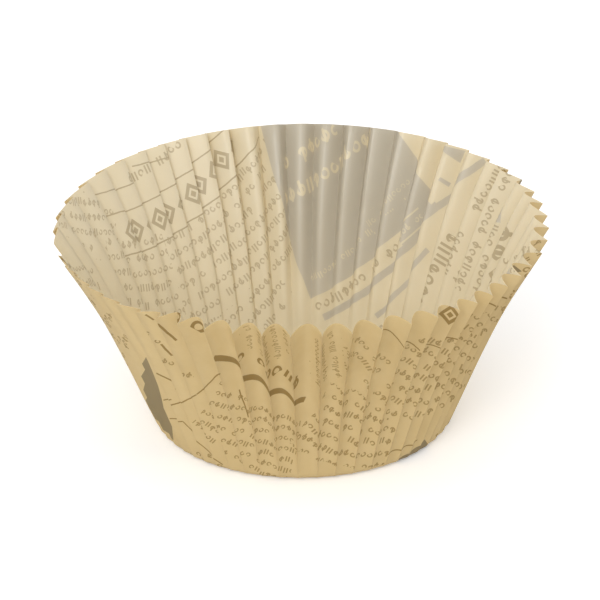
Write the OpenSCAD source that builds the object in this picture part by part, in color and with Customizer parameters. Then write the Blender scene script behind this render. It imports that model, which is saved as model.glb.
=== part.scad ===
// Pleated paper baking cup, pressed from one round sheet of greaseproof paper.
// The sheet keeps its area: wherever the wall stands on a smaller circle than
// the paper had when it was flat, the spare length is taken up by the pleats.
// Millimetres, +Z up, origin at the middle of the base's underside.

/* [Cup] */
// Width of the base, to the corner where base and wall would meet unrounded
base_d = 50; // [40:1:60]
// Length of the wall from that corner up its slope to the rim
wall_len = 38.5; // [26:0.5:50]
// Angle in degrees by which the wall leans out from upright
flare = 25.5; // [12:0.5:34]
// Radius of the bend between base and wall, on the outside
heel_r = 2; // [0.5:0.25:4]

/* [Pleats] */
// Number of pleats around the wall
pleats = 54; // [40:2:62]
// Sharpness of the outer folds: below 1 they are tighter, above 1 they are softer
fold_shape = 0.95; // [0.8:0.05:1.4]

/* [Paper] */
// Thickness of the paper
paper_t = 0.08; // [0.05:0.01:0.2]

/* [Hidden] */
paper_colour = [0.78, 0.68, 0.48];

// Facets along one pleat, over the bend and up the wall
pleat_steps = 6;
heel_rows = 2;
wall_rows = 5;

// The bend takes the paper from level to the slope of the wall
heel_turn = 90 - flare;
heel_cut = heel_r * tan(heel_turn / 2);
heel_arc = heel_r * heel_turn * PI / 180;
flat_r = base_d / 2 - heel_cut;
straight_len = wall_len - heel_cut;
blank_r = flat_r + heel_arc + straight_len;

// A whole number of pleats goes round the wall
pleat_count = round(pleats);
columns = pleat_count * pleat_steps;
rows = heel_rows + wall_rows;

// Distance from the middle of the flat sheet to each row of points
function row_reach(i) =
    i <= heel_rows
    ? flat_r + heel_arc * i / heel_rows
    : flat_r + heel_arc + straight_len * (i - heel_rows) / wall_rows;

// Slope of the paper at a row, in degrees up from level
function row_slope(i) = heel_turn * min(i / heel_rows, 1);

// Radius and height of the outer folds at a row
function fold_line(i) =
    let (
        turn = row_slope(i),
        along = max(row_reach(i) - flat_r - heel_arc, 0)
    )
    [
        flat_r + heel_r * sin(turn) + along * cos(turn),
        heel_r * (1 - cos(turn)) + along * sin(turn)
    ];

// Share of the pleat's depth at a phase from 0, an outer fold, to 1, the next
function fold_wave(phase) = pow(abs(sin(180 * phase)), fold_shape);

// A point of the outer face, at a row, an angle and a phase, for a pleat depth
function wall_point(i, angle, phase, depth) =
    let (
        line = fold_line(i),
        turn = row_slope(i),
        inward = depth * fold_wave(phase),
        r = line[0] - inward * sin(turn)
    )
    [r * cos(angle), r * sin(angle), line[1] + inward * cos(turn)];

// Length of paper across one pleat at a row, for a pleat depth
function pleat_length(i, depth, k = 0) =
    k == pleat_steps
    ? 0
    : let (
        step = 360 / columns,
        here = wall_point(i, k * step, k / pleat_steps, depth),
        next = wall_point(i, (k + 1) * step, (k + 1) / pleat_steps, depth)
    )
    norm(next - here) + pleat_length(i, depth, k + 1);

// Length of the flat sheet's circle that each pleat has to use up at a row
function pleat_share(i) = 2 * PI * row_reach(i) / pleat_count;

// Depth at which a pleat uses up its share at a row. The range that holds it is
// halved until it is narrow beside the paper's thickness.
function pleat_depth(i, low, high) =
    let (middle = (low + high) / 2)
    high - low < paper_t / 1000
    ? middle
    : pleat_length(i, middle) < pleat_share(i)
        ? pleat_depth(i, middle, high)
        : pleat_depth(i, low, middle);

// A pleat folded shut would be half its share deep; the flat base has no depth
depths = [for (i = [0 : rows]) i == 0 ? 0 : pleat_depth(i, 0, pleat_share(i) / 2)];

outer = [
    for (i = [0 : rows]) [
        for (j = [0 : columns - 1])
            wall_point(i, 360 * j / columns, (j % pleat_steps) / pleat_steps, depths[i])
    ]
];

function unit(v) = v / norm(v);

// Inward normal of the facet beside a point, on its side before or after
function facet_normal(i, j, side) =
    let (
        low = max(i - 1, 0),
        high = min(i + 1, rows),
        across = outer[i][(j + side + columns) % columns] - outer[i][j],
        up = outer[high][j] - outer[low][j]
    )
    unit(cross(up, across * side));

// A point of the inner face, one paper thickness in from both facets beside it
function inner_point(i, j) =
    i == 0
    ? outer[0][j] + [0, 0, paper_t]
    : let (
        before = facet_normal(i, j, -1),
        after = facet_normal(i, j, 1),
        middle = unit(before + after)
    )
    outer[i][j] + middle * paper_t / (middle * after);

inner = [for (i = [0 : rows]) [for (j = [0 : columns - 1]) inner_point(i, j)]];

// Place of a point in the list that holds the outer face first, then the inner
function outer_at(i, j) = i * columns + j % columns;
function inner_at(i, j) = (rows + 1 + i) * columns + j % columns;

// Two triangles over one cell of a face, split the same way on both faces
function outer_cell(i, j) = [
    [outer_at(i, j), outer_at(i + 1, j), outer_at(i + 1, j + 1)],
    [outer_at(i, j), outer_at(i + 1, j + 1), outer_at(i, j + 1)]
];
function inner_cell(i, j) = [
    [inner_at(i, j), inner_at(i + 1, j + 1), inner_at(i + 1, j)],
    [inner_at(i, j), inner_at(i, j + 1), inner_at(i + 1, j + 1)]
];
function rim_cell(j) = [
    [outer_at(rows, j), inner_at(rows, j), inner_at(rows, j + 1)],
    [outer_at(rows, j), inner_at(rows, j + 1), outer_at(rows, j + 1)]
];

// The cup: one sheet with a flat base, a rounded heel and a pleated wall
module liner() {
    points = [for (face = [outer, inner]) for (line = face) for (point = line) point];
    walls = [
        for (i = [0 : rows - 1]) for (j = [0 : columns - 1])
            for (cell = [outer_cell(i, j), inner_cell(i, j)]) for (facet = cell) facet
    ];
    rim = [for (j = [0 : columns - 1]) for (facet = rim_cell(j)) facet];
    underside = [[for (j = [0 : columns - 1]) outer_at(0, j)]];
    inside = [[for (j = [0 : columns - 1]) inner_at(0, columns - 1 - j)]];
    color(paper_colour)
        polyhedron(points = points, faces = concat(walls, rim, underside, inside));
}

liner();
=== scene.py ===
# %% [markdown]
# # A pleated paper baking cup
#
# This lesson makes one baking cup the way a factory does: a round sheet of greaseproof
# paper is printed flat, scored into pleats, and pressed into a cup. We follow the same
# order, because paper does not stretch. Whatever shape the cup takes, each patch of paper
# keeps its size, and so the print stays true where it bends over a pleat.
#
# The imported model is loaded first. It fixes the size and the place of the cup, and the
# paper that we make here takes its place.

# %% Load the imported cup
import math
import random
from collections import namedtuple

import bpy
import numpy as np
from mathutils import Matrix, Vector, noise


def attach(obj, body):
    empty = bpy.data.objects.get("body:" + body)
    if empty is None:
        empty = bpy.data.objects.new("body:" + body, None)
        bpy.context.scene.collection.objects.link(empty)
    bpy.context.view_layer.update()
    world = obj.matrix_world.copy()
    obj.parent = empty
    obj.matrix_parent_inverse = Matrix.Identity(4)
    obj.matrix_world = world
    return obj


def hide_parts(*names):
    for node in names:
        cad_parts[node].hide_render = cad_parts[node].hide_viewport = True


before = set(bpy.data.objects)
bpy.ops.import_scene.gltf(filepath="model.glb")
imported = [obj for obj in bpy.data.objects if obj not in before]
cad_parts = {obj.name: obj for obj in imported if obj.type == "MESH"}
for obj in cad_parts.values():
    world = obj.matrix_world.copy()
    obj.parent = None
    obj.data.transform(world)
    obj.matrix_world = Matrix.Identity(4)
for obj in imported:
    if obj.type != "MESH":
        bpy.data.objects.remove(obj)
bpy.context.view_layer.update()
scene = bpy.context.scene
scene.view_settings.view_transform = "Standard"

# %% [markdown]
# ## The sizes
#
# A baking cup is sold by the width of its base and the length of its wall. All sizes here
# are in millimetres, and the mesh is scaled to metres as its points are written. The
# bend between base and wall, the heel, uses up a little of both lengths, so the radius of
# the flat sheet follows from adding up base, heel and wall along the paper.

# %% Sizes of the cup
MM = 0.001

BASE_D = 50.0
WALL_LEN = 38.5
FLARE = math.radians(25.5)
HEEL_R = 2.0
PLEATS = 54
PAPER_T = 0.08

HEEL_TURN = math.pi / 2 - FLARE
HEEL_CUT = HEEL_R * math.tan(HEEL_TURN / 2)
HEEL_ARC = HEEL_R * HEEL_TURN
FLAT_R = BASE_D / 2 - HEEL_CUT
WALL_START = FLAT_R + HEEL_ARC
BLANK_R = WALL_START + WALL_LEN - HEEL_CUT
print(f"flat sheet {2 * BLANK_R:.1f} mm across, wall starts {WALL_START:.1f} mm from its middle")

# %% [markdown]
# ## The camera
#
# The camera comes early, so that each later step can be judged through it. A product
# photographer stands well back with a long lens, which keeps the mouth of the cup round
# and even. Here the lens looks down by 26 degrees from a metre away. The camera slides a
# few millimetres in its own plane to frame the cup, rather than turning, so the view
# direction stays exactly as chosen. Its place is worked out in millimetres, as the cup's
# sizes are, and the distances at which it stops seeing things are in metres.

# %% Camera
CAMERA_ELEVATION = math.radians(26.2)
CAMERA_DISTANCE = 1000.0
CAMERA_LENS = 355.4
CAMERA_SENSOR = 36.0
CAMERA_NEAR = 0.05
CAMERA_FAR = 20.0
CAMERA_ROLL = math.radians(0.85)
CAMERA_AIM_HEIGHT = 17.4
CAMERA_SLIDE = (-0.35, 3.32)

bpy.ops.object.select_all(action="DESELECT")
bpy.ops.object.camera_add(rotation=(math.pi / 2 - CAMERA_ELEVATION, 0, 0))
camera = bpy.context.object
camera.name = "photo_camera"
camera.data.lens = CAMERA_LENS
camera.data.sensor_width = CAMERA_SENSOR
camera.data.clip_start = CAMERA_NEAR
camera.data.clip_end = CAMERA_FAR
scene.camera = camera

view_back = Vector((0, -math.cos(CAMERA_ELEVATION), math.sin(CAMERA_ELEVATION)))
view_right = Vector((1, 0, 0))
view_up = Vector((0, math.sin(CAMERA_ELEVATION), math.cos(CAMERA_ELEVATION)))
camera.location = MM * (
    Vector((0, 0, CAMERA_AIM_HEIGHT))
    + view_back * CAMERA_DISTANCE
    + view_right * CAMERA_SLIDE[0]
    + view_up * CAMERA_SLIDE[1]
)
camera.rotation_euler.rotate_axis("Z", -CAMERA_ROLL)
print("camera at", tuple(round(value, 3) for value in camera.location))

# %% [markdown]
# ## The flat sheet
#
# The sheet starts as a circle, the cut edge of the paper, and is extruded inwards ring by
# ring. Many rings go into the wall, where the pleats will bend the paper, and few into
# the base, which stays flat. The number of points round a ring is a whole number for each
# pleat, so every fold will run along a line of points.

# %% Rings of the flat sheet
STEPS = 14
WALL_ROWS = 44
HEEL_ROWS = 6
BASE_RINGS = [22.6, 20.0, 15.0, 9.0, 4.0]
COLUMNS = PLEATS * STEPS

wall_rings = [BLANK_R - (BLANK_R - WALL_START) * i / WALL_ROWS for i in range(WALL_ROWS)]
heel_rings = [WALL_START - HEEL_ARC * i / HEEL_ROWS for i in range(HEEL_ROWS + 1)]
rings = wall_rings + heel_rings + BASE_RINGS

bpy.ops.object.select_all(action="DESELECT")
bpy.ops.mesh.primitive_circle_add(vertices=COLUMNS, radius=BLANK_R, fill_type="NOTHING")
cup = bpy.context.object
cup.name = "paper_cup"
cup.data.name = "paper_cup"
bpy.ops.object.mode_set(mode="EDIT")
bpy.ops.mesh.select_all(action="SELECT")
for outside, inside in zip(rings, rings[1:]):
    bpy.ops.mesh.extrude_edges_move()
    shrink = inside / outside
    bpy.ops.transform.resize(value=(shrink, shrink, 1))
bpy.ops.mesh.extrude_edges_move()
bpy.ops.mesh.merge(type="CENTER")
bpy.ops.object.mode_set(mode="OBJECT")
print("flat sheet:", len(cup.data.vertices), "points in", len(rings), "rings")

# %% [markdown]
# ## Where the folds fall
#
# A press folds the sheet into equal pleats, but paper springs back as the cup leaves the
# press, and no two pleats stay quite alike. On this cup the pleats on the left back are
# pulled widest, those on both sides of the front are a little narrow, and each fold
# wanders by a fraction of a degree. The scatter is drawn from a seeded generator, so each
# run makes the same cup.
#
# Whatever changes round the cup is written as pairs of an angle and a value, with even
# change between them. Seen by the camera, 0 degrees is the right, 90 the back, 180 the
# left and 270 the front.
#
# Each pleat then gets its own share of the points, by turning the points of the flat
# sheet to their new angles. The sheet is still flat, so this is the moment to keep a map
# of it: the print will be laid out on that map, in millimetres of real paper. The sheet
# just fills the map, so its middle is at one half each way.

# %% Fold angles and the map of the flat sheet
FOLD_START = math.radians(90 - 3.3)
WIDTH_AROUND = [
    (0, 1.03), (90, 1.06), (125, 0.96), (140, 1.18), (155, 1.4), (162, 1.4), (170, 1.0),
    (195, 0.88), (230, 0.89), (250, 1.08), (290, 1.06), (300, 0.88), (325, 0.88), (335, 1.03),
]
WIDTH_SCATTER = 0.05
SCATTER_SEED = 7
SHEET_MAP = "flat_sheet"
MAP_MIDDLE = 0.5

chance = random.Random(SCATTER_SEED)


def around_cup(knots, angles):
    """Values at angles round the cup, from pairs of an angle in degrees and a value."""
    knot_angles, knot_values = zip(*knots)
    return np.interp(np.degrees(angles), knot_angles, knot_values, period=360)


def scatter(most):
    """A chance value for each pleat, up to a most either way."""
    return np.array([chance.uniform(-most, most) for _ in range(PLEATS)])


even_angles = FOLD_START + 2 * math.pi * np.arange(PLEATS) / PLEATS
widths = around_cup(WIDTH_AROUND, even_angles) + scatter(WIDTH_SCATTER)
widths *= 2 * math.pi / widths.sum()
fold_angles = FOLD_START + np.concatenate([[0], np.cumsum(widths)[:-1]])


def place_on_sheet(point):
    """Ring and column of a point of the flat circle mesh."""
    reach = math.hypot(point.x, point.y)
    ring = min(range(len(rings)), key=lambda i: abs(rings[i] - reach))
    column = round(math.atan2(point.y, point.x) / (2 * math.pi) * COLUMNS) % COLUMNS
    return ring, column


def flat_angle(column):
    """Angle on the flat sheet at which a column of points lies."""
    pleat, step = divmod(column, STEPS)
    return fold_angles[pleat] + widths[pleat] * step / STEPS


points = cup.data.vertices
places = [place_on_sheet(point.co) for point in points]
middle = min(range(len(points)), key=lambda i: points[i].co.length)
flat = np.zeros((len(points), 2))
for index, (ring, column) in enumerate(places):
    if index != middle:
        turn = flat_angle(column)
        flat[index] = rings[ring] * math.cos(turn), rings[ring] * math.sin(turn)

sheet_map = cup.data.uv_layers.new(name=SHEET_MAP)
corner_points = np.zeros(len(cup.data.loops), dtype=np.int32)
cup.data.loops.foreach_get("vertex_index", corner_points)
sheet_uv = flat[corner_points] / (2 * BLANK_R) + MAP_MIDDLE
sheet_map.data.foreach_set("uv", sheet_uv.ravel())
print("pleat widths from %.2f to %.2f degrees" % tuple(np.degrees([widths.min(), widths.max()])))

# %% [markdown]
# ## Pressing the sheet into a cup
#
# At every height the wall stands on a smaller circle than the paper had when it was flat.
# The paper cannot shrink, so the spare length goes into the pleats, and this one rule
# gives their depth: nothing at the heel, and almost three millimetres at the rim where
# they stand upright. Seen from outside each pleat is a round hollow between two sharp
# ridges, like the fluting of a column.
#
# Handling has changed the pleats since. Low on the wall they are pressed over sideways
# and lie on each other like shingles, which makes the paper look smooth there. Towards
# the rim they open, crisp and upright at the front and in soft waves at the back. The
# left side was squeezed. At the left front the pleats are pressed quite flat, as in a
# folded map, so the rim runs smooth there. At the left back they are pressed over the
# other way, and the inside is smooth but for a small step at each fold.
#
# Two numbers describe a pleat: how sharp its outer fold is, and how far it leans sideways
# for each millimetre inwards. The lean falls off over four or five pleats, because the
# tip of a flat pleat would otherwise push through an upright neighbour. The wall as a
# whole is a little hollow, because the rim springs out.
#
# The search below finds the depth at which a pleat uses up exactly its share of paper.
# Points are then spaced evenly along the folded paper, as they were on the flat sheet.
# The same result could be had by moving rows of points by hand, pleat by pleat, but there
# are over forty thousand of them, so the rule moves them here.

# %% The shape of each pleat
SHAPE_AROUND = [
    (0, 1.15), (20, 1.4), (60, 1.5), (90, 1.35), (170, 1.3), (240, 0.9), (270, 0.75),
    (288, 0.8), (300, 0.85), (340, 0.9),
]
RIM_LEAN_AROUND = [
    (0, 0.0), (60, 0.15), (95, -0.15), (115, -0.8), (130, -2.0), (145, -3.0), (182, -3.6),
    (186, 5.0), (192, 6.0), (214, 6.0), (220, 4.6), (226, 2.3), (232, 1.0), (238, 0.3),
    (254, 0.0), (295, 0.0), (315, -0.2), (345, -0.2),
]
LOW_LEAN_AROUND = [
    (10, 0.3), (50, 0.6), (84, 0.3), (98, -0.5), (120, -1.3), (165, -1.4), (182, -1.4),
    (186, 0.6), (190, 0.8), (228, 1.6), (244, 0.8), (252, 0.0), (300, 0.0), (330, -0.2),
    (350, 0.0),
]
OPENING_TOWARDS_RIM = 1.6
WALL_HOLLOW = 0.9
HOLLOW_TOWARDS_RIM = 1.25
SHAPE_SCATTER = 0.08
LEAN_SCATTER = 0.14
FINE_STEPS = 56
DEPTH_HALVINGS = 24

shapes = (around_cup(SHAPE_AROUND, fold_angles) + scatter(SHAPE_SCATTER))[:, None]
low_leans = around_cup(LOW_LEAN_AROUND, fold_angles)
rim_leans = around_cup(RIM_LEAN_AROUND, fold_angles)
rim_leans += scatter(LEAN_SCATTER) * (1 + np.abs(rim_leans))


def climb(reach):
    """Share of the way up the wall, from 0 at the heel to 1 at the rim."""
    return min(max(reach - WALL_START, 0) / (BLANK_R - WALL_START), 1)


def leans(reach):
    """Sideways lean of each pleat at one ring, as a share of its depth."""
    rim_share = climb(reach) ** OPENING_TOWARDS_RIM
    return (low_leans + (rim_leans - low_leans) * rim_share)[:, None]


def fold_line(reach):
    """Radius, height and slope of the outer ridges, at a distance along the flat sheet."""
    if reach <= FLAT_R:
        return reach, 0.0, 0.0
    turn = min((reach - FLAT_R) / HEEL_R, HEEL_TURN)
    along = max(reach - WALL_START, 0.0)
    hollow = WALL_HOLLOW * math.sin(math.pi * climb(reach) ** HOLLOW_TOWARDS_RIM)
    radius = FLAT_R + HEEL_R * math.sin(turn) + along * math.cos(turn) - hollow * math.sin(turn)
    height = HEEL_R * (1 - math.cos(turn)) + along * math.sin(turn) + hollow * math.cos(turn)
    return radius, height, turn


def pleat_sections(reach, depths, starts, spans, phases):
    """Points across each pleat at one ring: pleats by phases by x, y and z."""
    radius, height, turn = fold_line(reach)
    inward = depths[:, None] * np.abs(np.sin(math.pi * phases)) ** shapes
    around = starts[:, None] + spans[:, None] * phases + leans(reach) * inward / radius
    out = radius - inward * math.sin(turn)
    up = height + inward * math.cos(turn)
    return np.stack([out * np.cos(around), out * np.sin(around), up], axis=-1)


def step_lengths(sections):
    """Length of each fine step across each pleat."""
    return np.linalg.norm(np.diff(sections, axis=1), axis=2)


def pleat_depths(reach, starts, spans):
    """Depth at which each pleat uses up its share of paper at one ring."""
    low = np.zeros(PLEATS)
    high = widths * reach / 2
    for _ in range(DEPTH_HALVINGS):
        depths = (low + high) / 2
        sections = pleat_sections(reach, depths, starts, spans, fine_phases)
        short = step_lengths(sections).sum(axis=1) < widths * reach
        low = np.where(short, depths, low)
        high = np.where(short, high, depths)
    return (low + high) / 2


# %% Press the sheet
SWAY = math.radians(0.45)
DENT = 0.07
DENT_SIZE = 7.0

fine_phases = np.linspace(0, 1, FINE_STEPS + 1)
sway = scatter(SWAY)


def pressed_ring(reach):
    """Place of every column of one ring on the finished cup."""
    lift = ((reach - FLAT_R) / (BLANK_R - FLAT_R)) ** 2 if reach > FLAT_R else 0.0
    starts = fold_angles + sway * lift
    spans = np.append(starts[1:], starts[0] + 2 * math.pi) - starts
    depths = pleat_depths(reach, starts, spans) if reach > FLAT_R else np.zeros(PLEATS)
    lengths = step_lengths(pleat_sections(reach, depths, starts, spans, fine_phases))
    walked = np.concatenate([np.zeros((PLEATS, 1)), np.cumsum(lengths, axis=1)], axis=1)
    wanted = walked[:, -1:] * np.arange(STEPS) / STEPS
    phases = np.array([np.interp(w, v, fine_phases) for w, v in zip(wanted, walked)])
    return pleat_sections(reach, depths, starts, spans, phases).reshape(-1, 3)


def dented(point):
    """The point, moved out or in by a soft, shallow dent of the wall."""
    outward = Vector((point.x, point.y, 0)).normalized()
    depth = noise.noise(point / DENT_SIZE) * DENT * min(point.z / HEEL_R, 1)
    return point + outward * depth


pressed = [pressed_ring(reach) for reach in rings]
for index, (ring, column) in enumerate(places):
    if index == middle:
        points[index].co = (0, 0, 0)
    else:
        points[index].co = dented(Vector(pressed[ring][column])) * MM

rim_depths = pleat_depths(BLANK_R, fold_angles, widths)
print("pleats at the rim are %.2f to %.2f mm deep" % (rim_depths.min(), rim_depths.max()))

# %% [markdown]
# ## Thickness, and which side is which
#
# The paper has a printed side, outside the cup, and a plain side, inside. Solidify gives
# the sheet its thickness towards the inside, and its material offset puts the inner face
# on the second material slot. Faces have to point outwards first, which for the base
# means down, so the face nearest the middle of the base tells whether the sheet has to
# be turned over.

# %% Paper thickness
base_face = min(cup.data.polygons, key=lambda face: face.center.length)
if base_face.normal.z > 0:
    bpy.ops.object.mode_set(mode="EDIT")
    bpy.ops.mesh.select_all(action="SELECT")
    bpy.ops.mesh.flip_normals()
    bpy.ops.object.mode_set(mode="OBJECT")

printed_side = bpy.data.materials.new("greaseproof_paper_printed_side")
plain_side = bpy.data.materials.new("greaseproof_paper_plain_side")
cup.data.materials.append(printed_side)
cup.data.materials.append(plain_side)

thickness = cup.modifiers.new("paper_thickness", "SOLIDIFY")
thickness.thickness = PAPER_T * MM
thickness.offset = -1
thickness.material_offset = 1
bpy.ops.object.modifier_apply(modifier=thickness.name)
print("paper cup:", sum(len(face.vertices) - 2 for face in cup.data.polygons), "triangles")

# %% [markdown]
# ## Soft flutes and crisp ridges
#
# The hollow of a flute is a smooth curve and the fold beside it is a crease. Both come
# from one setting: edges that turn by less than an angle are shaded smooth, and sharper
# ones keep their crease. A bevel on every fold would look much the same here and would
# add many faces.
#
# The finished paper then takes the place of the imported cup, on the same body.

# %% Shading, and the place of the cup in the frame
RIDGE_ANGLE = math.radians(38)

bpy.ops.object.shade_smooth_by_angle(angle=RIDGE_ANGLE)

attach(cup, "root")
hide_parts("liner")

# %% [markdown]
# ## The print
#
# The outside carries a print in the manner of old newspaper cuttings, and it shows faintly
# through to the inside. It is built from simple shapes laid out on the map of the flat
# sheet: fields and bars of solid ink, thin rules, borders of lozenges, and columns of
# small marks. The marks are open rings and strokes of the size of small print.
#
# One node group holds the whole print, so that both sides of the paper share it. Each
# shape is a rectangle or a polygon with its place, turn and size in millimetres. An image
# would be quicker to make, but it blurs when the camera comes close, and a shape can be
# moved by changing one number.

# %% A helper that adds a node
def add(tree, kind, inputs=None, **settings):
    """Adds a node, sets it up, and gives each input a value or a link."""
    node = tree.nodes.new(kind)
    for name, value in settings.items():
        setattr(node, name, value)
    for name, value in (inputs or {}).items():
        if isinstance(name, int):
            socket = node.inputs[name]
        else:
            socket = next(s for s in node.inputs if s.name == name and s.enabled)
        if isinstance(value, bpy.types.Node):
            value = next(s for s in value.outputs if s.enabled)
        if isinstance(value, bpy.types.NodeSocket):
            tree.links.new(value, socket)
        else:
            socket.default_value = value
    return node


# %% [markdown]
# ## The layout
#
# Places are in millimetres from the middle of the flat sheet, as it is seen from inside
# the cup. A patch is a rectangle: its middle, its turn in degrees, its length and its
# height. For marks and lozenges it also has their scale and the strength of their ink. A
# field is a polygon without hollow corners, and its corners go anticlockwise.

# %% The layout of the print
Patch = namedtuple("Patch", "centre turn length height scale ink", defaults=(1.0, 1.0))

COLUMNS_OF_MARKS = [
    Patch((0, 2), 12, 46, 40, 1.0, 0.8),
    Patch((-56, 15), 40, 26, 14, 0.9, 0.75),
    Patch((-50, -14), 66, 30, 19, 1.1, 0.85),
    Patch((-36, 50), 50, 34, 3.3, 1.15, 0.8),
    Patch((-31, 26), 46, 38, 18, 0.95, 0.75),
    Patch((-13, 43), 47, 44, 20, 1.0, 0.7),
    Patch((-11, 27), 52, 22, 9, 1.0, 0.75),
    Patch((31, 27.5), 27, 15, 4.2, 1.75, 0.9),
    Patch((46, 27), 25, 24, 10, 1.15, 0.85),
    Patch((44, 12), 30, 22, 14, 1.15, 0.85),
    Patch((54, -12), -62, 34, 14, 1.2, 0.85),
    Patch((-11.5, -33), 9, 20, 17.5, 0.87, 0.8),
    Patch((10, -34.5), 35, 20, 17, 1.0, 0.8),
    Patch((31, -31), 53, 32, 20, 1.03, 0.75),
    Patch((44, -30), 62, 24, 6, 1.03, 0.75),
    Patch((14.5, -51), 56, 15, 8.4, 1.0, 0.7),
    # Partly painted shade: this column of marks at the top of the front also stands for the shade
    # in the undercut folds there, as well as for print.
    Patch((5.5, -55), 88, 13, 8.4, 0.85, 0.7),
    Patch((-30.5, -38.5), -12, 9, 2.6, 1.0, 0.8),
    Patch((-38, -43.3), 24, 7.5, 2.6, 1.0, 0.85),
    Patch((-41.5, -25), 66, 9, 2.6, 1.0, 0.85),
    # Partly painted shade: these upright marks at the top of the front also stand for the shade
    # in the undercut folds, as well as for print.
    Patch((-9, -57.5), 80, 9, 13, 0.85, 0.6),
]

LARGE_MARKS = [
    Patch((-8.0, -51.2), 18, 19, 3.4, 2.0, 1.0),
    Patch((-29, -53.8), -16, 9, 4.6, 2.9, 1.0),
    Patch((50.5, 12), 34, 10, 5.2, 2.9, 0.9),
]

PALE_MARKS = [
    Patch((2.5, 59.0), 22, 15, 3.4, 1.95, 1.0),
    Patch((8.5, 55.0), 21, 27, 3.4, 1.95, 1.0),
    Patch((14.5, 41.0), 21, 27, 2.2, 0.85, 0.9),
    Patch((22.5, 45.5), 21, 12, 3.6, 0.85, 0.7),
    Patch((27.2, 39.0), 17.6, 6, 2.2, 0.85, 0.9),
]

BARS = [
    Patch((19.9, 34.15), 16.9, 33.1, 1.25),
    Patch((42, 38.9), 3, 14, 1.3),
    Patch((22.7, 30), 19, 16.8, 0.9),
    Patch((55, 23), 43, 9, 1.7),
    Patch((38.5, 41.8), -60, 2.2, 0.7),
]

RULES = [
    Patch((-10.6, -47.2), 18, 23.2, 1.25),
    Patch((-30.8, -31.7), -17, 5.2, 0.4),
    Patch((-33.9, -48.6), 37.7, 5.6, 0.45),
    Patch((-39.1, -47.8), 20, 1.8, 0.45),
    Patch((-33.6, -41.1), 34, 3.2, 0.5),
    Patch((-28.6, 39.6), 50, 54, 0.26),
    Patch((-34.3, 44.4), 50, 54, 0.24),
    Patch((-50.8, 31), 50, 16, 0.22),
    Patch((-40.5, 45.5), 39, 11.5, 0.22),
    Patch((24.3, -51.8), 57, 14, 0.24),
    Patch((-19.2, -22.8), 11, 10.6, 0.24),
    Patch((-25.4, -22), -61, 4, 0.24),
    Patch((-26.0, -30.4), -70.4, 10.7, 0.26),
    Patch((-21.95, -41.25), -68.6, 12.3, 0.26),
    Patch((-29.0, -25.2), -72, 4.0, 0.22),
    Patch((17.7, -21.9), 38, 7.4, 0.26),
    Patch((-13.9, -39.6), 64, 6.6, 0.24),
    Patch((33.5, -41.5), 34, 9, 0.24),
    Patch((48, -33), 62, 10, 0.3),
]

LOZENGE_ROWS = [
    Patch((-31.5, 42), 50, 44, 4.6, 1.0, 0.9),
    Patch((36.7, -49.2), 24, 5.0, 5.0, 1.1, 1.0),
]

PALE_STRIPS = [
    Patch((12.5, 34.3), 17.6, 25.2, 3.6),
    Patch((26.9, 40.4), 17.6, 6.6, 0.3),
    Patch((27.7, 37.7), 17.6, 6.0, 0.3),
]
STRIP_MARKS = Patch((12.8, 34.4), 17.6, 24.0, 2.6, 1.25, 0.75)

FIELDS = [
    [(-11.3, 64), (1.9, 32.3), (35.8, 37.9), (28.2, 56.8), (25.5, 64)],
    [(39, 49.3), (42.3, 43.5), (44, 45)],
    [
        (-22.8, -14.2), (-29, -7), (-34.9, -19.2), (-36.2, -24.5), (-37.3, -30.6),
        (-32, -25.6), (-29.8, -23.1),
    ],
    [(16, -20.3), (21.5, -17), (20, -10), (14, -13)],
    [(53.8, -29.5), (56.4, -27.5), (56.3, -25.2), (54.2, -26.6)],
    [(-41.3, -22.1), (-40.2, -24.1), (-39.6, -21.7)],
]

# %% Shapes of the print
def patch_axes(tree, sheet, patch):
    """Place along and across a patch, from its middle and in its own scale."""
    turn = math.radians(patch.turn)
    along = Vector((math.cos(turn), math.sin(turn)))
    across = Vector((-along.y, along.x))
    axes = []
    for direction in (along, across):
        inputs = {0: sheet, 1: (*direction, 0)}
        reach = add(tree, "ShaderNodeVectorMath", inputs, operation="DOT_PRODUCT")
        middle_reach = direction.dot(Vector(patch.centre))
        inputs = {0: reach, 1: 1 / patch.scale, 2: -middle_reach / patch.scale}
        axes.append(add(tree, "ShaderNodeMath", inputs, operation="MULTIPLY_ADD"))
    return axes


def on_patch(tree, axes, patch):
    """1 on a patch and 0 off it."""
    near = []
    for axis, size in zip(axes, (patch.length, patch.height)):
        inputs = {0: axis, 1: 0.0, 2: size / 2 / patch.scale}
        near.append(add(tree, "ShaderNodeMath", inputs, operation="COMPARE"))
    return add(tree, "ShaderNodeMath", {0: near[0], 1: near[1]}, operation="MULTIPLY")


def on_field(tree, sheet, corners):
    """1 on a polygon whose corners go anticlockwise, and 0 off it."""
    inside = 1.0
    for start, end in zip(corners, corners[1:] + corners[:1]):
        outward = Vector((end[1] - start[1], start[0] - end[0]))
        reach = {0: sheet, 1: (*outward, 0)}
        reach = add(tree, "ShaderNodeVectorMath", reach, operation="DOT_PRODUCT")
        within = {0: reach, 1: outward.dot(Vector(start))}
        within = add(tree, "ShaderNodeMath", within, operation="LESS_THAN")
        inside = add(tree, "ShaderNodeMath", {0: within, 1: inside}, operation="MULTIPLY")
    return inside


def cover(tree, under, over):
    """The stronger of two inks."""
    return add(tree, "ShaderNodeMath", {0: under, 1: over}, operation="MAXIMUM")


def leave_bare(tree, ink, place):
    """The ink, left out at a place."""
    bare = add(tree, "ShaderNodeMath", {0: 1.0, 1: place}, operation="SUBTRACT")
    return add(tree, "ShaderNodeMath", {0: ink, 1: bare}, operation="MULTIPLY")


# %% [markdown]
# ## Marks in rows
#
# Small print reads as a texture: rows of marks on a line, with gaps between groups. Each
# mark sits in its own cell of a grid, and a white noise texture gives the cell its
# choices: whether it is a gap, and whether it holds a ring, two upright strokes, or a ring
# with one stroke through it. Each ring is open at one of its four corners, which no letter
# is. All patches of marks share one set of these nodes. First the position on the patch
# that holds the point is picked, and then the marks are drawn from that position.

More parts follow.
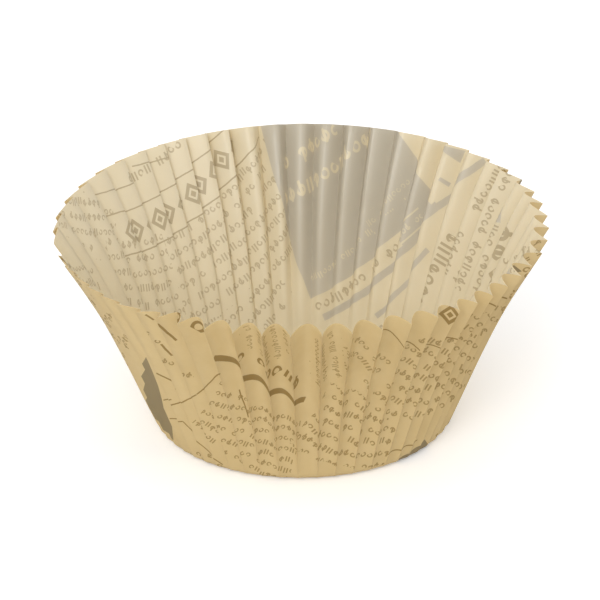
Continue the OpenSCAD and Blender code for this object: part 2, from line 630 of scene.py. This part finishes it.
# %% Rows of marks
ROW_PITCH = 2.8
ROW_SLIDE = 23.0
MARK_ADVANCE = 1.2
MARK_STROKE = 0.27
RING_R = 0.42
RING_NARROWING = 1.15
RING_OPEN_FROM = 0.31
RING_CORNERS = 4.0
MIDDLE_CHANCE = 0.5
STROKE_LENGTH = 1.35
STROKE_RISE = 0.7
STROKES_APART = 0.27
PLAIN_RINGS = 0.52
RINGS_IN_ALL = 0.82
GAP_SHARE = 0.15


def rows_of_marks(tree, place):
    """1 on a mark and 0 off it."""
    axes = add(tree, "ShaderNodeSeparateXYZ", {0: place})
    along, across, seed = axes.outputs
    lifted = add(tree, "ShaderNodeMath", {0: across, 1: ROW_PITCH / 2}, operation="ADD")
    row_count = add(tree, "ShaderNodeMath", {0: lifted, 1: ROW_PITCH}, operation="DIVIDE")
    row = add(tree, "ShaderNodeMath", {0: row_count}, operation="FLOOR")
    in_row = add(tree, "ShaderNodeMath", {0: lifted, 1: ROW_PITCH}, operation="FLOORED_MODULO")
    y = add(tree, "ShaderNodeMath", {0: in_row, 1: ROW_PITCH / 2}, operation="SUBTRACT")

    row_key = add(tree, "ShaderNodeCombineXYZ", {0: row, 1: seed})
    row_chance = add(tree, "ShaderNodeTexWhiteNoise", {"Vector": row_key}, noise_dimensions="2D")
    slide = {0: row_chance.outputs["Value"], 1: ROW_SLIDE, 2: along}
    slid = add(tree, "ShaderNodeMath", slide, operation="MULTIPLY_ADD")
    cell_count = add(tree, "ShaderNodeMath", {0: slid, 1: MARK_ADVANCE}, operation="DIVIDE")
    cell = add(tree, "ShaderNodeMath", {0: cell_count}, operation="FLOOR")
    in_cell = add(tree, "ShaderNodeMath", {0: slid, 1: MARK_ADVANCE}, operation="FLOORED_MODULO")
    x = add(tree, "ShaderNodeMath", {0: in_cell, 1: MARK_ADVANCE / 2}, operation="SUBTRACT")

    key = add(tree, "ShaderNodeCombineXYZ", {0: cell, 1: row, 2: seed})
    chances = add(tree, "ShaderNodeTexWhiteNoise", {"Vector": key}, noise_dimensions="3D")
    picks = add(tree, "ShaderNodeSeparateXYZ", {0: chances.outputs["Color"]})
    turn_pick, kind_pick, size_pick = picks.outputs

    narrow_x = add(tree, "ShaderNodeMath", {0: x, 1: RING_NARROWING}, operation="MULTIPLY")
    spot = add(tree, "ShaderNodeCombineXYZ", {0: narrow_x, 1: y})
    from_middle = add(tree, "ShaderNodeVectorMath", {0: spot}, operation="LENGTH")
    ring = {0: from_middle.outputs["Value"], 1: RING_R, 2: MARK_STROKE / 2}
    ring = add(tree, "ShaderNodeMath", ring, operation="COMPARE")
    corner = add(tree, "ShaderNodeMath", {0: turn_pick, 1: RING_CORNERS}, operation="MULTIPLY")
    corner = add(tree, "ShaderNodeMath", {0: corner}, operation="FLOOR")
    turn = {0: corner, 1: math.pi / 2, 2: math.pi / 4}
    turn = add(tree, "ShaderNodeMath", turn, operation="MULTIPLY_ADD")
    turned = {"Vector": spot, "Angle": turn}
    turned = add(tree, "ShaderNodeVectorRotate", turned, rotation_type="Z_AXIS")
    turned = add(tree, "ShaderNodeSeparateXYZ", {0: turned})
    kept = {0: turned.outputs[0], 1: RING_OPEN_FROM}
    kept = add(tree, "ShaderNodeMath", kept, operation="LESS_THAN")
    ring = add(tree, "ShaderNodeMath", {0: ring, 1: kept}, operation="MULTIPLY")
    has_ring = {0: kind_pick, 1: RINGS_IN_ALL}
    has_ring = add(tree, "ShaderNodeMath", has_ring, operation="LESS_THAN")
    ring = add(tree, "ShaderNodeMath", {0: ring, 1: has_ring}, operation="MULTIPLY")

    no_ring = add(tree, "ShaderNodeMath", {0: 1.0, 1: has_ring}, operation="SUBTRACT")
    apart = add(tree, "ShaderNodeMath", {0: no_ring, 1: STROKES_APART}, operation="MULTIPLY")
    off_middle = add(tree, "ShaderNodeMath", {0: x}, operation="ABSOLUTE")
    strokes = {0: off_middle, 1: apart, 2: MARK_STROKE / 2}
    strokes = add(tree, "ShaderNodeMath", strokes, operation="COMPARE")
    rise = add(tree, "ShaderNodeMath", {0: size_pick, 1: MIDDLE_CHANCE}, operation="SUBTRACT")
    along_stroke = {0: rise, 1: STROKE_RISE, 2: y}
    along_stroke = add(tree, "ShaderNodeMath", along_stroke, operation="MULTIPLY_ADD")
    tall = {0: along_stroke, 1: 0.0, 2: STROKE_LENGTH / 2}
    tall = add(tree, "ShaderNodeMath", tall, operation="COMPARE")
    strokes = add(tree, "ShaderNodeMath", {0: strokes, 1: tall}, operation="MULTIPLY")
    has_strokes = {0: kind_pick, 1: PLAIN_RINGS}
    has_strokes = add(tree, "ShaderNodeMath", has_strokes, operation="GREATER_THAN")
    strokes = add(tree, "ShaderNodeMath", {0: strokes, 1: has_strokes}, operation="MULTIPLY")

    mark = cover(tree, ring, strokes)
    used = {0: chances.outputs["Value"], 1: GAP_SHARE}
    used = add(tree, "ShaderNodeMath", used, operation="GREATER_THAN")
    return add(tree, "ShaderNodeMath", {0: mark, 1: used}, operation="MULTIPLY")


def marks_on(tree, sheet, patches, first_seed):
    """Ink of rows of marks on several patches; a later patch lies over an earlier one."""
    place = (0, 0, 0)
    strength = 0.0
    for count, patch in enumerate(patches):
        axes = patch_axes(tree, sheet, patch)
        inside = on_patch(tree, axes, patch)
        here = {0: axes[0], 1: axes[1], 2: float(first_seed + count)}
        here = add(tree, "ShaderNodeCombineXYZ", here)
        pick = {"Factor": inside, "A": place, "B": here}
        place = add(tree, "ShaderNodeMix", pick, data_type="VECTOR")
        pick = {"Factor": inside, "A": strength, "B": patch.ink}
        strength = add(tree, "ShaderNodeMix", pick)
    marks = rows_of_marks(tree, place)
    return add(tree, "ShaderNodeMath", {0: marks, 1: strength}, operation="MULTIPLY")


# %% [markdown]
# ## Lozenges and the whole print
#
# Large headings are replaced by a border of open lozenges, an old printer's ornament. A
# lozenge needs no drawing: the distance along the row plus a share of the distance across
# it is the same all round a lozenge, so a band of that sum is its outline and a small
# value is its heart.
#
# The print is then put together in layers. Fields come first, with pale strips cut out
# of them, and bars are laid over them. Rules, marks and lozenges stay off both, and the
# pale marks are left bare in the ink. A little noise in the place on the sheet gives bars
# and rules the slightly uneven edge of worn type.

# %% Rows of lozenges
LOZENGE_PITCH = 4.0
LOZENGE_WIDTH = 3.5
LOZENGE_HEIGHT = 4.4
LOZENGE_STROKE = 0.75
LOZENGE_HEART = 0.55


def lozenges_on(tree, sheet, patch):
    """Ink of a border of open lozenges on a patch."""
    axes = patch_axes(tree, sheet, patch)
    inside = on_patch(tree, axes, patch)
    along = add(tree, "ShaderNodeMath", {0: axes[0], 1: LOZENGE_PITCH / 2}, operation="ADD")
    along = {0: along, 1: LOZENGE_PITCH}
    along = add(tree, "ShaderNodeMath", along, operation="FLOORED_MODULO")
    along = add(tree, "ShaderNodeMath", {0: along, 1: LOZENGE_PITCH / 2}, operation="SUBTRACT")
    along = add(tree, "ShaderNodeMath", {0: along}, operation="ABSOLUTE")
    across = add(tree, "ShaderNodeMath", {0: axes[1]}, operation="ABSOLUTE")
    slope = LOZENGE_WIDTH / LOZENGE_HEIGHT
    reach = add(tree, "ShaderNodeMath", {0: across, 1: slope, 2: along}, operation="MULTIPLY_ADD")
    edge = (LOZENGE_WIDTH - LOZENGE_STROKE) / 2
    ring = {0: reach, 1: edge, 2: LOZENGE_STROKE / 2}
    ring = add(tree, "ShaderNodeMath", ring, operation="COMPARE")
    heart = add(tree, "ShaderNodeMath", {0: reach, 1: LOZENGE_HEART}, operation="LESS_THAN")
    ring = cover(tree, ring, heart)
    ring = add(tree, "ShaderNodeMath", {0: ring, 1: inside}, operation="MULTIPLY")
    return add(tree, "ShaderNodeMath", {0: ring, 1: patch.ink}, operation="MULTIPLY")


# %% The whole print as one node group
TORN_EDGE = 0.35
TORN_SIZE = 2.8
TORN_DETAIL = 2.0
NOISE_MIDDLE = (0.5, 0.5, 0.5)
DARK_SEED = 1
PALE_SEED = 40


def newsprint():
    """Node group that gives the ink at a place on the flat sheet."""
    tree = bpy.data.node_groups.new("newsprint_shapes", "ShaderNodeTree")
    tree.interface.new_socket("Sheet", in_out="INPUT", socket_type="NodeSocketVector")
    tree.interface.new_socket("Field", in_out="OUTPUT", socket_type="NodeSocketFloat")
    tree.interface.new_socket("Marks", in_out="OUTPUT", socket_type="NodeSocketFloat")
    sheet = add(tree, "NodeGroupInput").outputs["Sheet"]

    tear = {"Vector": sheet, "Scale": 1 / TORN_SIZE, "Detail": TORN_DETAIL}
    tear = add(tree, "ShaderNodeTexNoise", tear)
    tear = {0: tear.outputs["Color"], 1: NOISE_MIDDLE}
    tear = add(tree, "ShaderNodeVectorMath", tear, operation="SUBTRACT")
    torn = {0: tear, 1: (TORN_EDGE, TORN_EDGE, 0), 2: sheet}
    torn = add(tree, "ShaderNodeVectorMath", torn, operation="MULTIPLY_ADD")

    field = 0.0
    for corners in FIELDS:
        field = cover(tree, field, on_field(tree, sheet, corners))
    for strip in PALE_STRIPS:
        field = leave_bare(tree, field, on_patch(tree, patch_axes(tree, sheet, strip), strip))
    for bar in BARS:
        field = cover(tree, field, on_patch(tree, patch_axes(tree, torn, bar), bar))
    rules = 0.0
    for rule in RULES:
        rules = cover(tree, rules, on_patch(tree, patch_axes(tree, torn, rule), rule))

    dark_patches = COLUMNS_OF_MARKS + LARGE_MARKS + [STRIP_MARKS]
    dark_marks = marks_on(tree, sheet, dark_patches, DARK_SEED)
    for row in LOZENGE_ROWS:
        rules = cover(tree, rules, lozenges_on(tree, sheet, row))
    dark_marks = leave_bare(tree, cover(tree, dark_marks, rules), field)
    field = leave_bare(tree, field, marks_on(tree, sheet, PALE_MARKS, PALE_SEED))
    add(tree, "NodeGroupOutput", {"Field": field, "Marks": dark_marks})
    return tree


print_group = newsprint()
print("print group:", len(print_group.nodes), "nodes")

# %% [markdown]
# ## Greaseproof paper
#
# Greaseproof paper is cellulose beaten until its fibres close up, and then pressed
# smooth. It is a little glossier than writing paper, with soft clouds where the fibres
# lie thicker, and it is thin enough for the print to show through. Cellulose has an
# index of refraction of about 1.5. The printed side has a tan ground tint. On the plain
# side the same shapes are pale and greyish, because they are seen through the sheet.
# Some of the light passes through the sheet as well and leaves it softly on the other
# side, which keeps the inside of the cup bright. Pressing makes the plain side the
# smoother of the two, and the bump of the fibres is a hundredth of a millimetre.

# %% Colours
def linear(hex_colour):
    """A colour written as sRGB hex, as linear red, green, blue and alpha, by the sRGB curve."""
    channels = [int(hex_colour[i:i + 2], 16) / 255 for i in (1, 3, 5)]
    curve = [c / 12.92 if c <= 0.04045 else ((c + 0.055) / 1.055) ** 2.4 for c in channels]
    return (*curve, 1.0)


PaperTint = namedtuple("PaperTint", "paper cloud field mark")

OUTSIDE = PaperTint("#E2CEA0", "#D5BE8A", "#9E8D68", "#A4884F")
INSIDE = PaperTint("#F3ECD6", "#EEE5CA", "#E0D9C8", "#CDBF9D")
OUTSIDE_ROUGHNESS = 0.55
INSIDE_ROUGHNESS = 0.32

# %% Paper material
PAPER_IOR = 1.5
LIGHT_THROUGH = 0.4
CLOUD_SIZE = 6.0
CLOUD_DETAIL = 4.0
CLOUD_ROUGHNESS = 0.6
FIBRE_LENGTH = 1.2
FIBRE_WIDTH = 0.25
FIBRE_HEIGHT = 0.012
FIBRE_DETAIL = 3.0


def make_paper(material, tint, roughness):
    """Builds greaseproof paper on a material, with the print in its own tints."""
    material.use_nodes = True
    tree = material.node_tree
    tree.nodes.clear()
    sheet_map = add(tree, "ShaderNodeUVMap", uv_map=SHEET_MAP)
    sheet = {
        "Vector": sheet_map,
        "Location": (-BLANK_R, -BLANK_R, 0),
        "Scale": (2 * BLANK_R, 2 * BLANK_R, 1),
    }
    sheet = add(tree, "ShaderNodeMapping", sheet)
    ink = add(tree, "ShaderNodeGroup", {"Sheet": sheet}, node_tree=print_group)

    clouds = {
        "Vector": sheet,
        "Scale": 1 / CLOUD_SIZE,
        "Detail": CLOUD_DETAIL,
        "Roughness": CLOUD_ROUGHNESS,
    }
    clouds = add(tree, "ShaderNodeTexNoise", clouds)
    ground = {"Factor": clouds.outputs["Fac"], "A": linear(tint.paper), "B": linear(tint.cloud)}
    ground = add(tree, "ShaderNodeMix", ground, data_type="RGBA")
    inked = {"Factor": ink.outputs["Field"], "A": ground, "B": linear(tint.field)}
    inked = add(tree, "ShaderNodeMix", inked, data_type="RGBA")
    printed = {"Factor": ink.outputs["Marks"], "A": inked, "B": linear(tint.mark)}
    printed = add(tree, "ShaderNodeMix", printed, data_type="RGBA")

    fibre_place = {"Vector": sheet, "Scale": (1 / FIBRE_LENGTH, 1 / FIBRE_WIDTH, 1)}
    fibre_place = add(tree, "ShaderNodeMapping", fibre_place)
    fibres = {"Vector": fibre_place, "Scale": 1.0, "Detail": FIBRE_DETAIL}
    fibres = add(tree, "ShaderNodeTexNoise", fibres)
    relief = {"Height": fibres.outputs["Fac"], "Distance": FIBRE_HEIGHT * MM, "Strength": 1.0}
    relief = add(tree, "ShaderNodeBump", relief)

    paper = {
        "Base Color": printed,
        "Roughness": roughness,
        "IOR": PAPER_IOR,
        "Normal": relief,
    }
    paper = add(tree, "ShaderNodeBsdfPrincipled", paper)
    through = add(tree, "ShaderNodeBsdfTranslucent", {"Color": printed, "Normal": relief})
    sheet_face = add(tree, "ShaderNodeMixShader", {0: LIGHT_THROUGH, 1: paper, 2: through})
    add(tree, "ShaderNodeOutputMaterial", {"Surface": sheet_face})


make_paper(printed_side, OUTSIDE, OUTSIDE_ROUGHNESS)
make_paper(plain_side, INSIDE, INSIDE_ROUGHNESS)

# %% [markdown]
# ## A map for baking
#
# Baking the colours of the cup to an image needs a map on which no two faces overlap. The
# inner and the outer face are discs of the same size, so they sit in opposite corners of
# the square. The outer disc is mirrored, because the outside of the cup is seen from the
# other side of the sheet, and the cut edge of the paper takes a thin ring just outside it.

# %% Bake map
BAKE_MAP = "OFBake"
DISC_ROOM = 0.285
DISC_MIDDLES = np.array([(0.293, 0.293), (0.707, 0.707)])
DISC_MIRROR = np.array([(-1, 1), (1, 1)])
EDGE_RINGS = (1.004, 1.012)
OUTER, INNER = 0, 1

outer_points = len(cup.data.vertices) // 2
corner_points = np.zeros(len(cup.data.loops), dtype=np.int32)
cup.data.loops.foreach_get("vertex_index", corner_points)
corner_side = np.where(corner_points < outer_points, OUTER, INNER)
sheet_uv = np.zeros(len(cup.data.loops) * 2)
cup.data.uv_layers[SHEET_MAP].data.foreach_get("uv", sheet_uv)
disc_place = (sheet_uv.reshape(-1, 2) - MAP_MIDDLE) * 2 * DISC_ROOM
spread = np.ones((len(corner_side), 1))
for face in cup.data.polygons:
    corners = list(face.loop_indices)
    sides = corner_side[corners]
    if sides.min() != sides.max():
        spread[corners, 0] = [EDGE_RINGS[side] for side in sides]
        corner_side[corners] = OUTER
bake_uv = DISC_MIDDLES[corner_side] + disc_place * DISC_MIRROR[corner_side] * spread

bake_map = cup.data.uv_layers.new(name=BAKE_MAP)
bake_map.data.foreach_set("uv", bake_uv.ravel())
print("bake map runs from %.3f to %.3f" % (bake_uv.min(), bake_uv.max()))

# %% [markdown]
# ## The table and the light
#
# The cup stands on a matt white board in an evenly lit white room, as for a catalogue. A
# board reflects only nine tenths of the light and would look grey beside the white of the
# page, so a glow that only the camera sees lifts it to white. One large softbox, in front
# and to the left, shapes the folds and gives the cup its soft shadow. The rest of the
# light comes from the room. Sizes and places are in metres here, and the lamp's power is
# in watts. The board lies a fifth of a millimetre under the base, so that no two faces
# share one plane.

# %% Table
WHITE = (1, 1, 1, 1)
BOARD_WHITE = "#F4F4F4"
FLOOR_SIZE = 12.0
FLOOR_DROP = 0.0002
FLOOR_LIFT = 0.22

bpy.ops.object.select_all(action="DESELECT")
bpy.ops.mesh.primitive_plane_add(size=FLOOR_SIZE, location=(0, 0, -FLOOR_DROP))
floor = bpy.context.object
floor.name = "white_table"
white = bpy.data.materials.new("matt_white_board")
white.use_nodes = True
tree = white.node_tree
tree.nodes.clear()
board = add(tree, "ShaderNodeBsdfDiffuse", {"Color": linear(BOARD_WHITE)})
path = add(tree, "ShaderNodeLightPath")
lift = {0: path.outputs["Is Camera Ray"], 1: FLOOR_LIFT}
lift = add(tree, "ShaderNodeMath", lift, operation="MULTIPLY")
glow = add(tree, "ShaderNodeEmission", {"Color": WHITE, "Strength": lift})
lifted = add(tree, "ShaderNodeAddShader", {0: board, 1: glow})
add(tree, "ShaderNodeOutputMaterial", {"Surface": lifted})
floor.data.materials.append(white)

# %% Room and lamp
ROOM_LIGHT = 0.95
ROOM_SEEN = 1.0
LAMP_PLACE = (-0.35, -1.3, 0.95)
LAMP_AIM = (0, 0, 0.02)
LAMP_SIZE = 0.8
LAMP_POWER = 11

world = bpy.data.worlds.new("even_studio")
scene.world = world
world.use_nodes = True
tree = world.node_tree
tree.nodes.clear()
path = add(tree, "ShaderNodeLightPath")
room = add(tree, "ShaderNodeBackground", {"Color": WHITE, "Strength": ROOM_LIGHT})
backdrop = add(tree, "ShaderNodeBackground", {"Color": WHITE, "Strength": ROOM_SEEN})
seen = add(tree, "ShaderNodeMixShader", {0: path.outputs["Is Camera Ray"], 1: room, 2: backdrop})
add(tree, "ShaderNodeOutputWorld", {"Surface": seen})

bpy.ops.object.light_add(type="AREA", location=LAMP_PLACE)
lamp = bpy.context.object
lamp.name = "key_softbox"
lamp.data.size = LAMP_SIZE
lamp.data.energy = LAMP_POWER
lamp_view = Vector(LAMP_AIM) - Vector(LAMP_PLACE)
lamp.rotation_euler = lamp_view.to_track_quat("-Z", "Y").to_euler()
